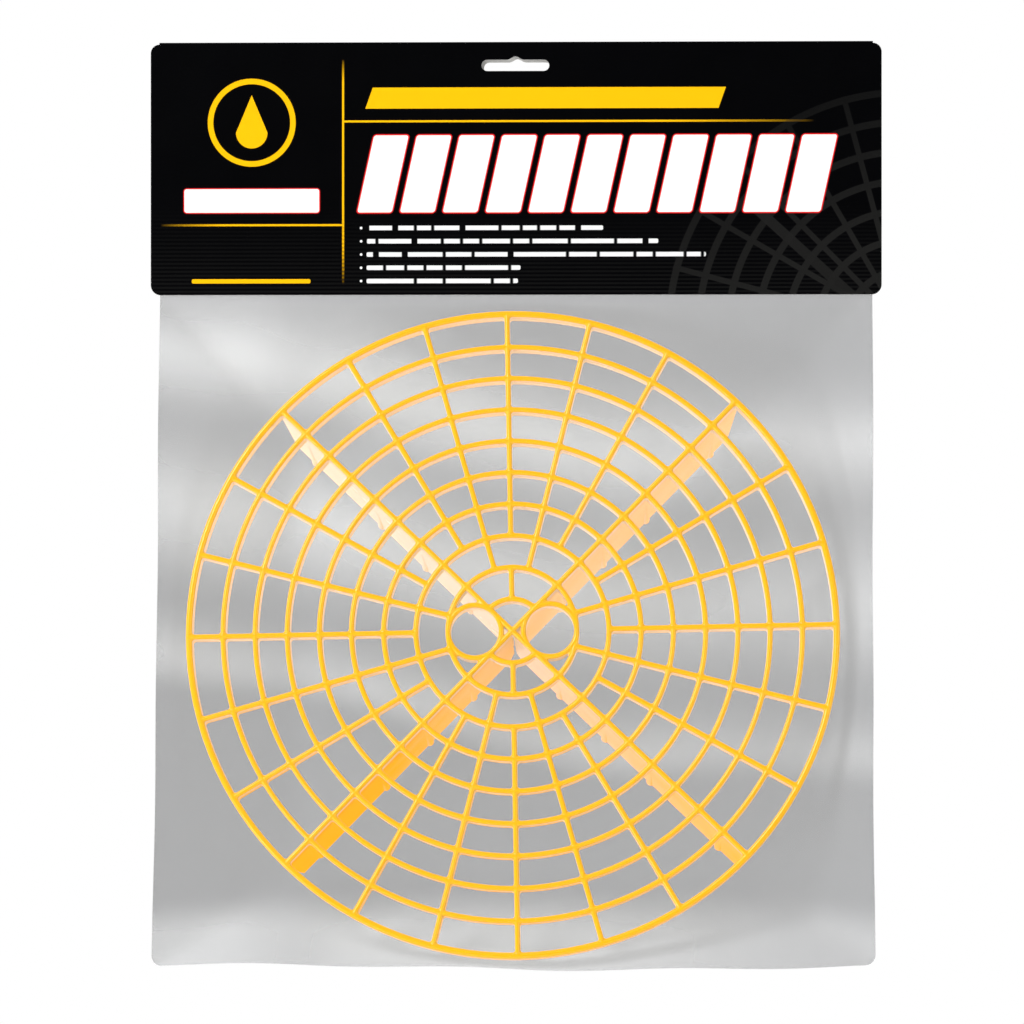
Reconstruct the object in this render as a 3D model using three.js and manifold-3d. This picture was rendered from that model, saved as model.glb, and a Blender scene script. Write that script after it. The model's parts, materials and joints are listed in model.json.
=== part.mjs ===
// Hang-packed dirt trap insert for a car wash bucket: a folded header card, a gusseted film
// bag glued between its leaves, and a one-piece moulded grid standing on crossed vanes.
// Millimetres, +Z up, front towards -Y. The origin is the top of the hang slot, where a shop
// peg bears, midway between the two leaves of the card.

import * as THREE from 'three';
import { mergeVertices } from 'three/addons/utils/BufferGeometryUtils.js';
import { ConvexGeometry } from 'three/addons/geometries/ConvexGeometry.js';
import Module from 'manifold-3d';

// Insert
const INSERT_DIAMETER = 258.2;
const INSERT_HEIGHT = 63.5;
const RING_PITCH = 12.7;
const RIB_WIDTH = 2.1;
const RIB_DEPTH = 8.5;
const RIM_WIDTH = 2.6;
const SPOKE_STEP = 15;
const VANE_THICKNESS = 2;
const VANE_END_SLANT = 4.2;
const BOSS_RADIUS = 1.9;
const BOSS_STAND_PROUD = 0.8;
const BOSS_RINGS = [1, 3, 5, 8];
const HUB_SLIT_HALF = 1.3;
const HUB_SLIT_FLARE = 4;
const HUB_SLIT_FLARE_HEIGHT = 11;

// Header card
const CARD_WIDTH = 292;
const CARD_ABOVE_PEG = 5.9;
const CARD_BELOW_PEG = 95.2;
const CARD_CORNER = 4;
const BOARD = 0.5;
const LEAF_INNER_FACE = 0.65;
const SLOT_LENGTH = 27;
const SLOT_HEIGHT = 4.4;
const SLOT_CREST_RISE = 1.35;
const SLOT_CREST_HALF = 3.3;
const GLUE_STRIP = { width: 256, height: 14, thickness: 0.25, top: -66, innerFace: 0.35 };

// Bag
const FILM = 0.2;
const FILM_INNER_FACE = 0.1;
const BAG_WIDTH = 283;
const MOUTH_BELOW_PEG = 20;
const BAG_BEND_BELOW_PEG = 95.5;
const BAG_FACE_LENGTH = 267.4;
const FILM_TO_GRID = 0.4;
const FILM_CLEARANCE = 0.8;

// How the insert hangs in the bag
const INSERT_TILT = 9.9;
const INSERT_ROLL = 1.2;
const HUB_BELOW_BEND = 135;
const HUB_OFFSET_X = -0.7;

const GAP = 0.3;
const OVERCUT = 5;
const RIM_OUTER = INSERT_DIAMETER / 2;
const RIM_INNER = RIM_OUTER - RIM_WIDTH;
const HALF_RIB = RIB_WIDTH / 2;
const FILM_MIDDLE = FILM_INNER_FACE + FILM / 2;
const TILT = THREE.MathUtils.degToRad(INSERT_TILT);
const BAG_HALF = BAG_WIDTH / 2;

const wasm = await Module();
wasm.setup();

const ringRadius = (index) => RING_PITCH * (index + 1);
const radians = (degrees) => THREE.MathUtils.degToRad(degrees);

// Booleans -----------------------------------------------------------------

function solidOf(geometry) {
  const bare = geometry.clone();
  bare.deleteAttribute('normal');
  bare.deleteAttribute('uv');
  const merged = mergeVertices(bare, 1e-4);
  return new wasm.Manifold(new wasm.Mesh({
    numProp: 3,
    vertProperties: Float32Array.from(merged.attributes.position.array),
    triVerts: Uint32Array.from(merged.index.array),
  }));
}

function joined(geometries) {
  return geometries.map(solidOf).reduce((sum, solid) => sum.add(solid));
}

function geometryOf(solid) {
  const mesh = solid.getMesh();
  const geometry = new THREE.BufferGeometry();
  geometry.setAttribute('position', new THREE.BufferAttribute(mesh.vertProperties, 3));
  geometry.setIndex(new THREE.BufferAttribute(mesh.triVerts, 1));
  geometry.computeVertexNormals();
  return geometry;
}

function namedMesh(name, geometry, material) {
  const mesh = new THREE.Mesh(geometry, material);
  mesh.name = name;
  return mesh;
}

// Insert: the grid lies in XY with its front face at z = 0 and the vanes run down to
// z = -INSERT_HEIGHT. Ribs are extruded from the back of the grid to its front face.

function extrudedRib(shape, curveSegments) {
  const options = { depth: RIB_DEPTH, bevelEnabled: false, curveSegments };
  return new THREE.ExtrudeGeometry(shape, options).translate(0, 0, -RIB_DEPTH);
}

function arcRib(radius, fromDegrees, toDegrees) {
  const shape = new THREE.Shape();
  shape.absarc(0, 0, radius + HALF_RIB, radians(fromDegrees), radians(toDegrees), false);
  shape.absarc(0, 0, radius - HALF_RIB, radians(toDegrees), radians(fromDegrees), true);
  shape.closePath();
  return extrudedRib(shape, 6);
}

function ringRib(outer, inner, curveSegments) {
  const shape = new THREE.Shape().absarc(0, 0, outer, 0, 2 * Math.PI, false);
  shape.holes.push(new THREE.Path().absarc(0, 0, inner, 0, 2 * Math.PI, true));
  return extrudedRib(shape, curveSegments);
}

function spokeRib(degrees, fromRadius, toRadius, width = RIB_WIDTH, depth = RIB_DEPTH) {
  const spoke = new THREE.BoxGeometry(toRadius - fromRadius, width, depth);
  spoke.translate((fromRadius + toRadius) / 2, 0, -RIB_DEPTH / 2);
  return spoke.rotateZ(radians(degrees));
}

function rimGeometry() {
  return ringRib(RIM_OUTER, RIM_INNER, 48);
}

// One quarter of the grid, centred on +X: the rings between two vanes and five spokes, of
// which every second one runs one ring further in.
function gridQuarterGeometry() {
  const ribs = [];
  for (let ring = 2; ring <= 8; ring += 1) {
    ribs.push(arcRib(ringRadius(ring), -45, 45));
  }
  for (let step = -2; step <= 2; step += 1) {
    const isLong = step % 2 !== 0;
    const start = isLong ? ringRadius(1) + HALF_RIB + GAP : ringRadius(2);
    ribs.push(spokeRib(step * SPOKE_STEP, start, RIM_INNER - GAP));
  }
  const vaneRoom = VANE_THICKNESS + 2 * GAP;
  const cuts = [-45, 45].map((degrees) => (
    spokeRib(degrees, 0, INSERT_DIAMETER, vaneRoom, RIB_DEPTH + OVERCUT)));
  return geometryOf(joined(ribs).subtract(joined(cuts)));
}

// The middle of the grid: the second ring, a finger ring on each side that touches it and
// both vanes, and a half-size ring arc with a short spoke above and below.
function hubGrilleGeometry() {
  const outer = ringRadius(1);
  const fingerCentre = outer / (1 + Math.SQRT1_2);
  const fingerRadius = outer - fingerCentre;
  const ribs = [ringRib(outer + HALF_RIB, outer - HALF_RIB, 16)];
  for (const side of [-1, 1]) {
    const ring = ringRib(fingerRadius + HALF_RIB, fingerRadius - HALF_RIB, 12);
    ribs.push(ring.translate(side * fingerCentre, 0, 0));
  }
  for (const middle of [90, 270]) {
    ribs.push(arcRib(ringRadius(0), middle - 45, middle + 45));
    ribs.push(spokeRib(middle, ringRadius(0), outer));
  }
  for (const degrees of [45, 135]) {
    ribs.push(spokeRib(degrees, -outer, outer));
  }
  return geometryOf(joined(ribs));
}

// A vane: a plate under the grid from the hub to the rim, its outer end leaning in and its
// hub corner cut back, with round ejector bosses that end a little below its foot.
function vaneGeometry() {
  const foot = BOSS_STAND_PROUD - INSERT_HEIGHT;
  const underGrid = -RIB_DEPTH - GAP;
  const gridStart = ringRadius(1) + HALF_RIB + GAP;
  const outline = new THREE.Shape([
    new THREE.Vector2(gridStart, 0),
    new THREE.Vector2(gridStart, underGrid),
    new THREE.Vector2(HUB_SLIT_HALF, underGrid),
    new THREE.Vector2(HUB_SLIT_HALF, foot + HUB_SLIT_FLARE_HEIGHT),
    new THREE.Vector2(HUB_SLIT_FLARE, foot),
    new THREE.Vector2(RIM_OUTER - GAP - VANE_END_SLANT, foot),
    new THREE.Vector2(RIM_OUTER - GAP, underGrid),
    new THREE.Vector2(RIM_INNER - GAP, underGrid),
    new THREE.Vector2(RIM_INNER - GAP, 0),
  ]);
  const plate = new THREE.ExtrudeGeometry(outline, { depth: VANE_THICKNESS, bevelEnabled: false });
  plate.rotateX(Math.PI / 2).translate(0, VANE_THICKNESS / 2, 0);
  const bossLength = INSERT_HEIGHT + underGrid;
  const bosses = BOSS_RINGS.map((ring) => {
    const boss = new THREE.CylinderGeometry(HALF_RIB, BOSS_RADIUS, bossLength, 12);
    return boss.rotateX(Math.PI / 2).translate(ringRadius(ring), 0, underGrid - bossLength / 2);
  });
  return geometryOf(joined([plate, ...bosses]));
}

function insertGroup(material) {
  const group = new THREE.Group();
  group.add(namedMesh('insert_rim', rimGeometry(), material));
  group.add(namedMesh('insert_hub_grille', hubGrilleGeometry(), material));
  const quarter = gridQuarterGeometry();
  ['right', 'top', 'left', 'bottom'].forEach((side, index) => {
    const mesh = namedMesh(`insert_grid_${side}`, quarter, material);
    mesh.rotation.z = radians(90 * index);
    group.add(mesh);
  });
  const vane = vaneGeometry();
  ['ne', 'nw', 'sw', 'se'].forEach((corner, index) => {
    const mesh = namedMesh(`insert_vane_${corner}`, vane, material);
    mesh.rotation.z = radians(90 * index + 45);
    group.add(mesh);
  });
  return group;
}

// The insert hangs face to the front film, its top leaning back, a little turned in the bag.
const bend = new THREE.Vector3(0, -FILM_MIDDLE, -BAG_BEND_BELOW_PEG);
const alongFace = new THREE.Vector3(0, Math.sin(TILT), Math.cos(TILT));
const outOfFace = new THREE.Vector3(0, -Math.cos(TILT), Math.sin(TILT));

function placeInsert(group) {
  group.position.copy(bend);
  group.position.addScaledVector(alongFace, -HUB_BELOW_BEND);
  group.position.addScaledVector(outOfFace, -FILM_TO_GRID);
  group.position.x = HUB_OFFSET_X;
  group.rotation.set(Math.PI / 2 - TILT, 0, radians(INSERT_ROLL));
  group.updateMatrixWorld(true);
}

// Header card --------------------------------------------------------------

function slotPath() {
  const half = SLOT_LENGTH / 2;
  const top = -SLOT_CREST_RISE;
  const bottom = top - SLOT_HEIGHT;
  const corner = SLOT_HEIGHT / 2;
  const path = new THREE.Path();
  path.moveTo(-half + corner, bottom);
  path.lineTo(half - corner, bottom);
  path.absarc(half - corner, top - corner, corner, -Math.PI / 2, Math.PI / 2, false);
  path.lineTo(SLOT_CREST_HALF, top);
  path.quadraticCurveTo(SLOT_CREST_HALF / 2, 0, 0, 0);
  path.quadraticCurveTo(-SLOT_CREST_HALF / 2, 0, -SLOT_CREST_HALF, top);
  path.lineTo(-half + corner, top);
  path.absarc(-half + corner, top - corner, corner, Math.PI / 2, 1.5 * Math.PI, false);
  return path;
}

// The leaf's outline stands in XZ; the extrusion runs in Y.
function leafGeometry(topZ, topCorner) {
  const half = CARD_WIDTH / 2;
  const bottom = -CARD_BELOW_PEG;
  const shape = new THREE.Shape();
  shape.moveTo(-half, bottom + CARD_CORNER);
  shape.absarc(-half + CARD_CORNER, bottom + CARD_CORNER, CARD_CORNER, Math.PI, 1.5 * Math.PI, false);
  shape.absarc(half - CARD_CORNER, bottom + CARD_CORNER, CARD_CORNER, 1.5 * Math.PI, 2 * Math.PI, false);
  shape.absarc(half - topCorner, topZ - topCorner, topCorner, 0, Math.PI / 2, false);
  shape.absarc(-half + topCorner, topZ - topCorner, topCorner, Math.PI / 2, Math.PI, false);
  shape.holes.push(slotPath());
  const leaf = new THREE.ExtrudeGeometry(shape, { depth: BOARD, bevelEnabled: false, curveSegments: 4 });
  return leaf.rotateX(Math.PI / 2);
}

// The back leaf keeps the folded spine, which bridges over to the front leaf's top edge.
function backLeafGeometry() {
  const leaf = leafGeometry(CARD_ABOVE_PEG, CARD_CORNER);
  leaf.translate(0, LEAF_INNER_FACE + BOARD, 0);
  const outerFace = LEAF_INNER_FACE + BOARD;
  const spine = new THREE.BoxGeometry(CARD_WIDTH - 2 * CARD_CORNER, 2 * outerFace, BOARD);
  spine.translate(0, 0, CARD_ABOVE_PEG - BOARD / 2);
  return geometryOf(joined([leaf, spine]));
}

function frontLeafGeometry() {
  const topZ = CARD_ABOVE_PEG - BOARD - GAP;
  return leafGeometry(topZ, CARD_CORNER - BOARD).translate(0, -LEAF_INNER_FACE, 0);
}

function glueStripGeometry(side) {
  const strip = new THREE.BoxGeometry(GLUE_STRIP.width, GLUE_STRIP.thickness, GLUE_STRIP.height);
  const offset = GLUE_STRIP.innerFace + GLUE_STRIP.thickness / 2;
  return strip.translate(0, side * offset, GLUE_STRIP.top - GLUE_STRIP.height / 2);
}

// Bag ----------------------------------------------------------------------

// The front panel hangs flat in the card, then bends once and lies along the grid's face.
function frontPanelGeometry() {
  const half = FILM / 2;
  const end = bend.clone().addScaledVector(alongFace, -BAG_FACE_LENGTH);
  const outline = new THREE.Shape([
    new THREE.Vector2(-FILM_MIDDLE - half, -MOUTH_BELOW_PEG),
    new THREE.Vector2(bend.y - half, bend.z),
    new THREE.Vector2(end.y + outOfFace.y * half, end.z + outOfFace.z * half),
    new THREE.Vector2(end.y - outOfFace.y * half, end.z - outOfFace.z * half),
    new THREE.Vector2(bend.y + half, bend.z),
    new THREE.Vector2(-FILM_MIDDLE + half, -MOUTH_BELOW_PEG),
  ]);
  const panel = new THREE.ExtrudeGeometry(outline, { depth: BAG_WIDTH, bevelEnabled: false });
  // The shape's (x, y) are the bag's (Y, Z), and the extrusion runs in X.
  const toBag = new THREE.Matrix4().makeBasis(
    new THREE.Vector3(0, 1, 0), new THREE.Vector3(0, 0, 1), new THREE.Vector3(1, 0, 0));
  return panel.applyMatrix4(toBag).translate(-BAG_HALF, 0, 0);
}

// Points that the back film is stretched over, in the insert's frame before its roll: the
// front panel's outline, the back edge of the rim and the bosses at the vanes' outer ends.
function backFilmPoints() {
  const front = FILM_TO_GRID + OVERCUT;
  const top = HUB_BELOW_BEND;
  const bottom = HUB_BELOW_BEND - BAG_FACE_LENGTH;
  const points = [];
  for (const x of [-BAG_HALF - HUB_OFFSET_X, BAG_HALF - HUB_OFFSET_X]) {
    for (const y of [top, bottom]) {
      points.push(new THREE.Vector3(x, y, 0), new THREE.Vector3(x, y, front));
    }
  }
  const rimSteps = 36;
  for (let step = 0; step < rimSteps; step += 1) {
    const angle = (2 * Math.PI * step) / rimSteps;
    const radius = RIM_OUTER + FILM_CLEARANCE;
    const back = -RIB_DEPTH - FILM_CLEARANCE;
    points.push(new THREE.Vector3(radius * Math.cos(angle), radius * Math.sin(angle), back));
  }
  for (let quarter = 0; quarter < 4; quarter += 1) {
    const angle = radians(90 * quarter + 45 + INSERT_ROLL);
    for (const radius of [RIM_OUTER - VANE_END_SLANT + FILM_CLEARANCE, ringRadius(8)]) {
      for (const side of [-1, 1]) {
        const across = side * (BOSS_RADIUS + FILM_CLEARANCE);
        points.push(new THREE.Vector3(
          radius * Math.cos(angle) - across * Math.sin(angle),
          radius * Math.sin(angle) + across * Math.cos(angle),
          -INSERT_HEIGHT - FILM_CLEARANCE));
      }
    }
  }
  return points;
}

function grown(points, amount) {
  const signs = [-1, 1];
  return points.flatMap((point) => signs.flatMap((x) => signs.flatMap((y) => signs.map((z) => (
    new THREE.Vector3(point.x + x * amount, point.y + y * amount, point.z + z * amount))))));
}

// The back panel and the side gussets: a film tent over the vanes, open at the front where
// the front panel closes it, with a flat neck that goes up between the leaves.
function backPanelGeometry(insertFrame) {
  const points = backFilmPoints();
  const reach = 2 * INSERT_DIAMETER;
  const tent = solidOf(new ConvexGeometry(grown(points, FILM)));
  const room = solidOf(new ConvexGeometry(points));
  const frontCut = solidOf(new THREE.BoxGeometry(reach, reach, reach).translate(0, 0, reach / 2));
  const shell = geometryOf(tent.subtract(room).subtract(frontCut));
  shell.applyMatrix4(insertFrame);
  const neckBottom = -BAG_BEND_BELOW_PEG - 1;
  const neckHeight = -MOUTH_BELOW_PEG - neckBottom;
  const neck = new THREE.BoxGeometry(BAG_WIDTH, FILM, neckHeight);
  neck.translate(0, FILM_MIDDLE, neckBottom + neckHeight / 2);
  return geometryOf(joined([shell, neck]));
}

// Materials ----------------------------------------------------------------

const yellowPlastic = new THREE.MeshStandardMaterial({ color: 0xffb81c, roughness: 0.35, metalness: 0 });
const blackPrint = new THREE.MeshStandardMaterial({ color: 0x0a0a0a, roughness: 0.4, metalness: 0 });
const greyBoard = new THREE.MeshStandardMaterial({ color: 0x8d8c88, roughness: 0.9, metalness: 0 });
const clearGlue = new THREE.MeshStandardMaterial({ color: 0xe8e2cf, roughness: 0.5, metalness: 0 });
const clearFilm = new THREE.MeshStandardMaterial({
  color: 0xc9cbcc, roughness: 0.2, metalness: 0, transparent: true, opacity: 0.35,
});

// Assembly -----------------------------------------------------------------

const insert = insertGroup(yellowPlastic);
placeInsert(insert);

const unrolledInsert = new THREE.Group();
placeInsert(unrolledInsert);
unrolledInsert.rotation.z = 0;
unrolledInsert.updateMatrixWorld(true);

const bag = new THREE.Group();
bag.add(namedMesh('bag_front_panel', frontPanelGeometry(), clearFilm));
bag.add(namedMesh('bag_back_panel', backPanelGeometry(unrolledInsert.matrixWorld), clearFilm));

const header = new THREE.Group();
header.add(namedMesh('header_back_leaf', backLeafGeometry(), greyBoard));
header.add(namedMesh('header_front_leaf', frontLeafGeometry(), blackPrint));
header.add(namedMesh('glue_strip_back', glueStripGeometry(1), clearGlue));
header.add(namedMesh('glue_strip_front', glueStripGeometry(-1), clearGlue));

const pack = new THREE.Group();
pack.add(header, bag, insert);

export default pack;
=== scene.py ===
import cmath
import json
import math

import bmesh
import bpy
from mathutils import Matrix, Vector
from mathutils.bvhtree import BVHTree


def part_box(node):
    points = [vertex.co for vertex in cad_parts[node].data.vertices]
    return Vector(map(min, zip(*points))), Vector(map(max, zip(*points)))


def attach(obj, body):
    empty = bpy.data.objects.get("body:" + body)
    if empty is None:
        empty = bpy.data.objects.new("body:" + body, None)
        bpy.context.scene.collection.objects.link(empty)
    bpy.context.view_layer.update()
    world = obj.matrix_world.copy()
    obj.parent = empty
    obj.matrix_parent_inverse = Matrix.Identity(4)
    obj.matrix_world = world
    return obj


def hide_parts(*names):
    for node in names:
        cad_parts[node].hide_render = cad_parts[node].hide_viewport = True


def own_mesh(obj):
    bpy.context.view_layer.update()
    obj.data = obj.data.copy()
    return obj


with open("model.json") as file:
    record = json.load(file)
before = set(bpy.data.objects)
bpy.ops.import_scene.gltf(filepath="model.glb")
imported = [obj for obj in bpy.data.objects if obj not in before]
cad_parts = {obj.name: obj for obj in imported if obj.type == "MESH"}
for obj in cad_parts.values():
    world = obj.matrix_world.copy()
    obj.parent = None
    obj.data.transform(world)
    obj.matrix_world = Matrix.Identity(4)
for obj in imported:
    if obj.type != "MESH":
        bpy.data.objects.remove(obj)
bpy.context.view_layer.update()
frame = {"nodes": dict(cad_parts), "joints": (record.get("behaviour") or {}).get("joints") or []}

MM = 0.001


# ---------------------------------------------------------------------------
# Camera, light and floor
# A hanging pack is looked at straight on, from far enough to flatten it.
# The room is plain white, with one large soft lamp up to the left.
# ---------------------------------------------------------------------------
CAMERA_LENS = 148.6
CAMERA_SENSOR = 36
CAMERA_DISTANCE = 1.689
CAMERA_TARGET = Vector((-0.0014, 0.0, -0.1819))
CAMERA_TURN = math.radians(1.43)
CAMERA_RANGE = 50
LAMP_AIM = Vector((0, 0, -0.2))
WHITE = (1, 1, 1, 1)
# The room is dim on the camera's side, and its cove behind and beside the pack is bright.
# The last two say how far along the line of sight the dim part ends and the bright one starts.
DIM_SIDE = 0.02
BRIGHT_SIDE = 1.15
DIM_UNTIL = -0.95
BRIGHT_FROM = 0.25
FLOOR_LEVEL = -1.25
FLOOR_HALF = 3.2
FLOOR_PAINT = (0.8, 0.8, 0.79, 1)
FLOOR_ROUGHNESS = 0.9

camera = bpy.data.objects.new("camera", bpy.data.cameras.new("camera"))
bpy.context.collection.objects.link(camera)
camera.data.lens = CAMERA_LENS
camera.data.sensor_width = CAMERA_SENSOR
camera.data.clip_end = CAMERA_RANGE
sight = Vector((math.sin(CAMERA_TURN), -math.cos(CAMERA_TURN), 0))
camera.location = CAMERA_TARGET + CAMERA_DISTANCE * sight
camera.rotation_euler = (math.radians(90), 0, CAMERA_TURN)
bpy.context.scene.camera = camera
bpy.context.scene.view_settings.view_transform = "Standard"


def soft_lamp(name, place, size, power):
    """A square softbox at `place` that faces the pack."""
    lamp = bpy.data.lights.new(name, "AREA")
    lamp.shape = "SQUARE"
    lamp.size = size
    lamp.energy = power
    holder = bpy.data.objects.new(name, lamp)
    bpy.context.collection.objects.link(holder)
    holder.location = place
    holder.rotation_euler = (LAMP_AIM - Vector(place)).to_track_quat("-Z", "Y").to_euler()
    holder.visible_camera = False


soft_lamp("key_softbox", (-1.5, -2.0, 1.3), 1.2, 56)
soft_lamp("low_softbox", (-1.7, -1.7, -1.0), 0.5, 16)
soft_lamp("side_softbox", (2.0, -1.9, 0.1), 1.2, 13)


def feed(node, values):
    """Sets a node's inputs, by name or number; each value is plain or another node's output."""
    for name, value in values.items():
        if isinstance(value, bpy.types.NodeSocket):
            node.id_data.links.new(value, node.inputs[name])
        else:
            node.inputs[name].default_value = value
    return node


def wired(tree, kind, inputs=None, **settings):
    """A new node in a tree, with its settings and its inputs."""
    node = tree.nodes.new(kind)
    for name, value in settings.items():
        setattr(node, name, value)
    return feed(node, inputs or {})


world = bpy.data.worlds.new("white_room")
bpy.context.scene.world = world
world.use_nodes = True
room = world.node_tree
room.nodes.clear()
look_at = wired(room, "ShaderNodeTexCoord").outputs["Generated"]
look_level = wired(room, "ShaderNodeSeparateXYZ", {"Vector": look_at}).outputs["Y"]
cove_light = wired(room, "ShaderNodeMapRange", {
    "Value": look_level, "From Min": DIM_UNTIL, "From Max": BRIGHT_FROM,
    "To Min": DIM_SIDE, "To Max": BRIGHT_SIDE}).outputs["Result"]
seen_white = wired(room, "ShaderNodeBackground", {"Color": WHITE})
cove_white = wired(room, "ShaderNodeBackground", {"Color": WHITE, "Strength": cove_light})
room_mix = wired(room, "ShaderNodeMixShader", {
    0: wired(room, "ShaderNodeLightPath").outputs["Is Camera Ray"],
    1: cove_white.outputs[0], 2: seen_white.outputs[0]})
wired(room, "ShaderNodeOutputWorld", {"Surface": room_mix.outputs[0]})


def mesh_object(name, points, faces):
    """A mesh object at the origin, from points in metres."""
    mesh = bpy.data.meshes.new(name)
    mesh.from_pydata([tuple(point) for point in points], [], faces)
    made = bpy.data.objects.new(name, mesh)
    bpy.context.collection.objects.link(made)
    return made


floor = mesh_object("floor", [
    (-FLOOR_HALF, -FLOOR_HALF, FLOOR_LEVEL), (FLOOR_HALF, -FLOOR_HALF, FLOOR_LEVEL),
    (FLOOR_HALF, FLOOR_HALF, FLOOR_LEVEL), (-FLOOR_HALF, FLOOR_HALF, FLOOR_LEVEL)], [(0, 1, 2, 3)])
floor_paint = bpy.data.materials.new("pale_floor")
floor_paint.use_nodes = True
feed(floor_paint.node_tree.nodes["Principled BSDF"], {
    "Base Color": FLOOR_PAINT, "Roughness": FLOOR_ROUGHNESS})
floor.data.materials.append(floor_paint)


# ---------------------------------------------------------------------------
# Dirt trap insert: the grid
# One piece of yellow polypropylene from a two-plate mould. Rings every half inch
# and 24 spokes, with half-round tops, drafted walls and a small fillet at each crossing.
# ---------------------------------------------------------------------------
RING_PITCH = 12.7
RINGS = 9
RIB_HALF = 1.05
RIB_DEPTH = 8.5
RIM_OUTER = 129.1
RIM_HALF = 1.3
SECTOR = math.radians(30)
FIRST_SPOKE = math.radians(15)
STEP = math.radians(3)
CORNER_STEPS = 3
CROSSING_FILLET = 1.0
HUB_FILLET = 0.55
MIDDLE_FILLET = 0.275
RIB_ROLL = math.radians(1.2)
SHARP_EDGE = math.radians(32)
WELD = 2e-6
# The rib's section from its crest over one flank to the middle of its underside:
# share of the half width, depth below the crest, and share of the crossing's fillet.
RIB_SECTION = [
    (0, 0, 0), (0.38, 0.08, 0.35), (0.71, 0.31, 0.62), (0.92, 0.64, 0.85), (1.0, 1.05, 1.0),
    (0.93, 8.1, 1.0), (0.85, 8.38, 0.95), (0.68, 8.5, 0.8), (0, 8.5, 0)]

ring_radius = [RING_PITCH * (index + 1) for index in range(RINGS)]
rim_middle = RIM_OUTER - RIM_HALF


def rib_side(start, segments, centre=None, turn=1, thick=1.0, stops=None, web=None):
    """One side of a cell: the middle line of a rib, straight or an arc about `centre`.
    Where it starts at a tangent, `web` is the pair of crest points that the web there ends at."""
    even = [step / segments for step in range(1, segments)]
    return {"start": start, "stops": even if stops is None else stops,
            "centre": centre, "turn": turn, "thick": thick, "web": web}


def set_in(line, end, distance):
    """The side moved into the cell: (point, direction) if straight, (centre, radius) if an arc."""
    if line["centre"] is None:
        direction = (end - line["start"]) / abs(end - line["start"])
        return "straight", line["start"] + 1j * direction * distance, direction
    radius = abs(line["start"] - line["centre"])
    return "arc", line["centre"], radius - line["turn"] * distance


def crossing(first, second, near):
    """Where two moved sides meet, on the side of `near`."""
    if first[0] == "arc" and second[0] == "straight":
        first, second = second, first
    if second[0] == "straight":
        turn = (first[2].conjugate() * second[2]).imag
        along = ((second[1] - first[1]).conjugate() * second[2]).imag / turn
        return first[1] + along * first[2]
    if first[0] == "straight":
        reach = (first[2].conjugate() * (second[1] - first[1]))
        half = math.sqrt(max(0.0, second[2] ** 2 - reach.imag ** 2))
        found = [first[1] + first[2] * (reach.real + sign * half) for sign in (-1, 1)]
    else:
        gap = abs(second[1] - first[1])
        towards = (second[1] - first[1]) / gap
        along = (first[2] ** 2 - second[2] ** 2 + gap ** 2) / (2 * gap)
        half = math.sqrt(max(0.0, first[2] ** 2 - along ** 2))
        found = [first[1] + towards * complex(along, sign * half) for sign in (-1, 1)]
    return min(found, key=lambda point: abs(point - near))


def foot_on(moved, point):
    """The nearest point to `point` on a moved side."""
    if moved[0] == "straight":
        return moved[1] + moved[2] * (moved[2].conjugate() * (point - moved[1])).real
    return moved[1] + (point - moved[1]) / abs(point - moved[1]) * abs(moved[2])


def cell_line(sides, inset, fillet):
    """One closed line inside a cell, `inset` in from the ribs' middles, its corners rounded."""
    count = len(sides)
    middle = sum(line["start"] for line in sides) / count
    ends = [sides[(index + 1) % count]["start"] for index in range(count)]
    corners = []
    for index, line in enumerate(sides):
        before = sides[index - 1]
        near = 0.8 * line["start"] + 0.2 * middle
        centre = crossing(
            set_in(before, ends[index - 1], inset * before["thick"] + fillet),
            set_in(line, ends[index], inset * line["thick"] + fillet), near)
        corners.append((
            foot_on(set_in(before, ends[index - 1], inset * before["thick"]), centre), centre,
            foot_on(set_in(line, ends[index], inset * line["thick"]), centre)))
    points = []
    for index, line in enumerate(sides):
        enter, centre, leave = corners[index]
        if inset == 0 and line["web"]:
            enter, leave = line["web"]
            points += [enter + (leave - enter) * step / CORNER_STEPS for step in range(CORNER_STEPS + 1)]
        elif fillet > 1e-6:
            sweep = cmath.phase((leave - centre) / (enter - centre))
            points += [centre + (enter - centre) * cmath.rect(1, sweep * step / CORNER_STEPS)
                       for step in range(CORNER_STEPS + 1)]
        else:
            points += [enter] * (CORNER_STEPS + 1)
        after = sides[(index + 1) % count]
        goal = after["web"][0] if inset == 0 and after["web"] else corners[(index + 1) % count][0]
        if line["centre"] is None:
            points += [leave + (goal - leave) * stop for stop in line["stops"]]
        else:
            sweep = cmath.phase((goal - line["centre"]) / (leave - line["centre"]))
            if line["turn"] * sweep < 0:
                sweep += line["turn"] * 2 * math.pi
            points += [line["centre"] + (leave - line["centre"]) * cmath.rect(1, sweep * stop)
                       for stop in line["stops"]]
    return points


def wall_of_cell(points, faces, lines, closed=True, flip=False):
    """Adds the skin between a cell's lines, from the ribs' crests down to their underside."""
    base = len(points)
    width = len(lines[0])
    for (share, depth, rounding), line in zip(RIB_SECTION, lines):
        points += [(spot.real * MM, spot.imag * MM, -depth * MM) for spot in line]
    for level in range(len(lines) - 1):
        for index in range(width if closed else width - 1):
            here, after = base + level * width + index, base + level * width + (index + 1) % width
            face = (here, after, after + width, here + width)
            faces.append(face[::-1] if flip else face)


def cell(points, faces, sides, fillet, mirrored=False):
    """Adds one open cell of the grid; a mirrored cell lies across the middle's level line."""
    lines = [cell_line(sides, share * RIB_HALF, rounding * fillet)
             for share, depth, rounding in RIB_SECTION]
    if mirrored:
        lines = [[spot.conjugate() for spot in line] for line in lines]
    wall_of_cell(points, faces, lines, flip=mirrored)


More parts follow.
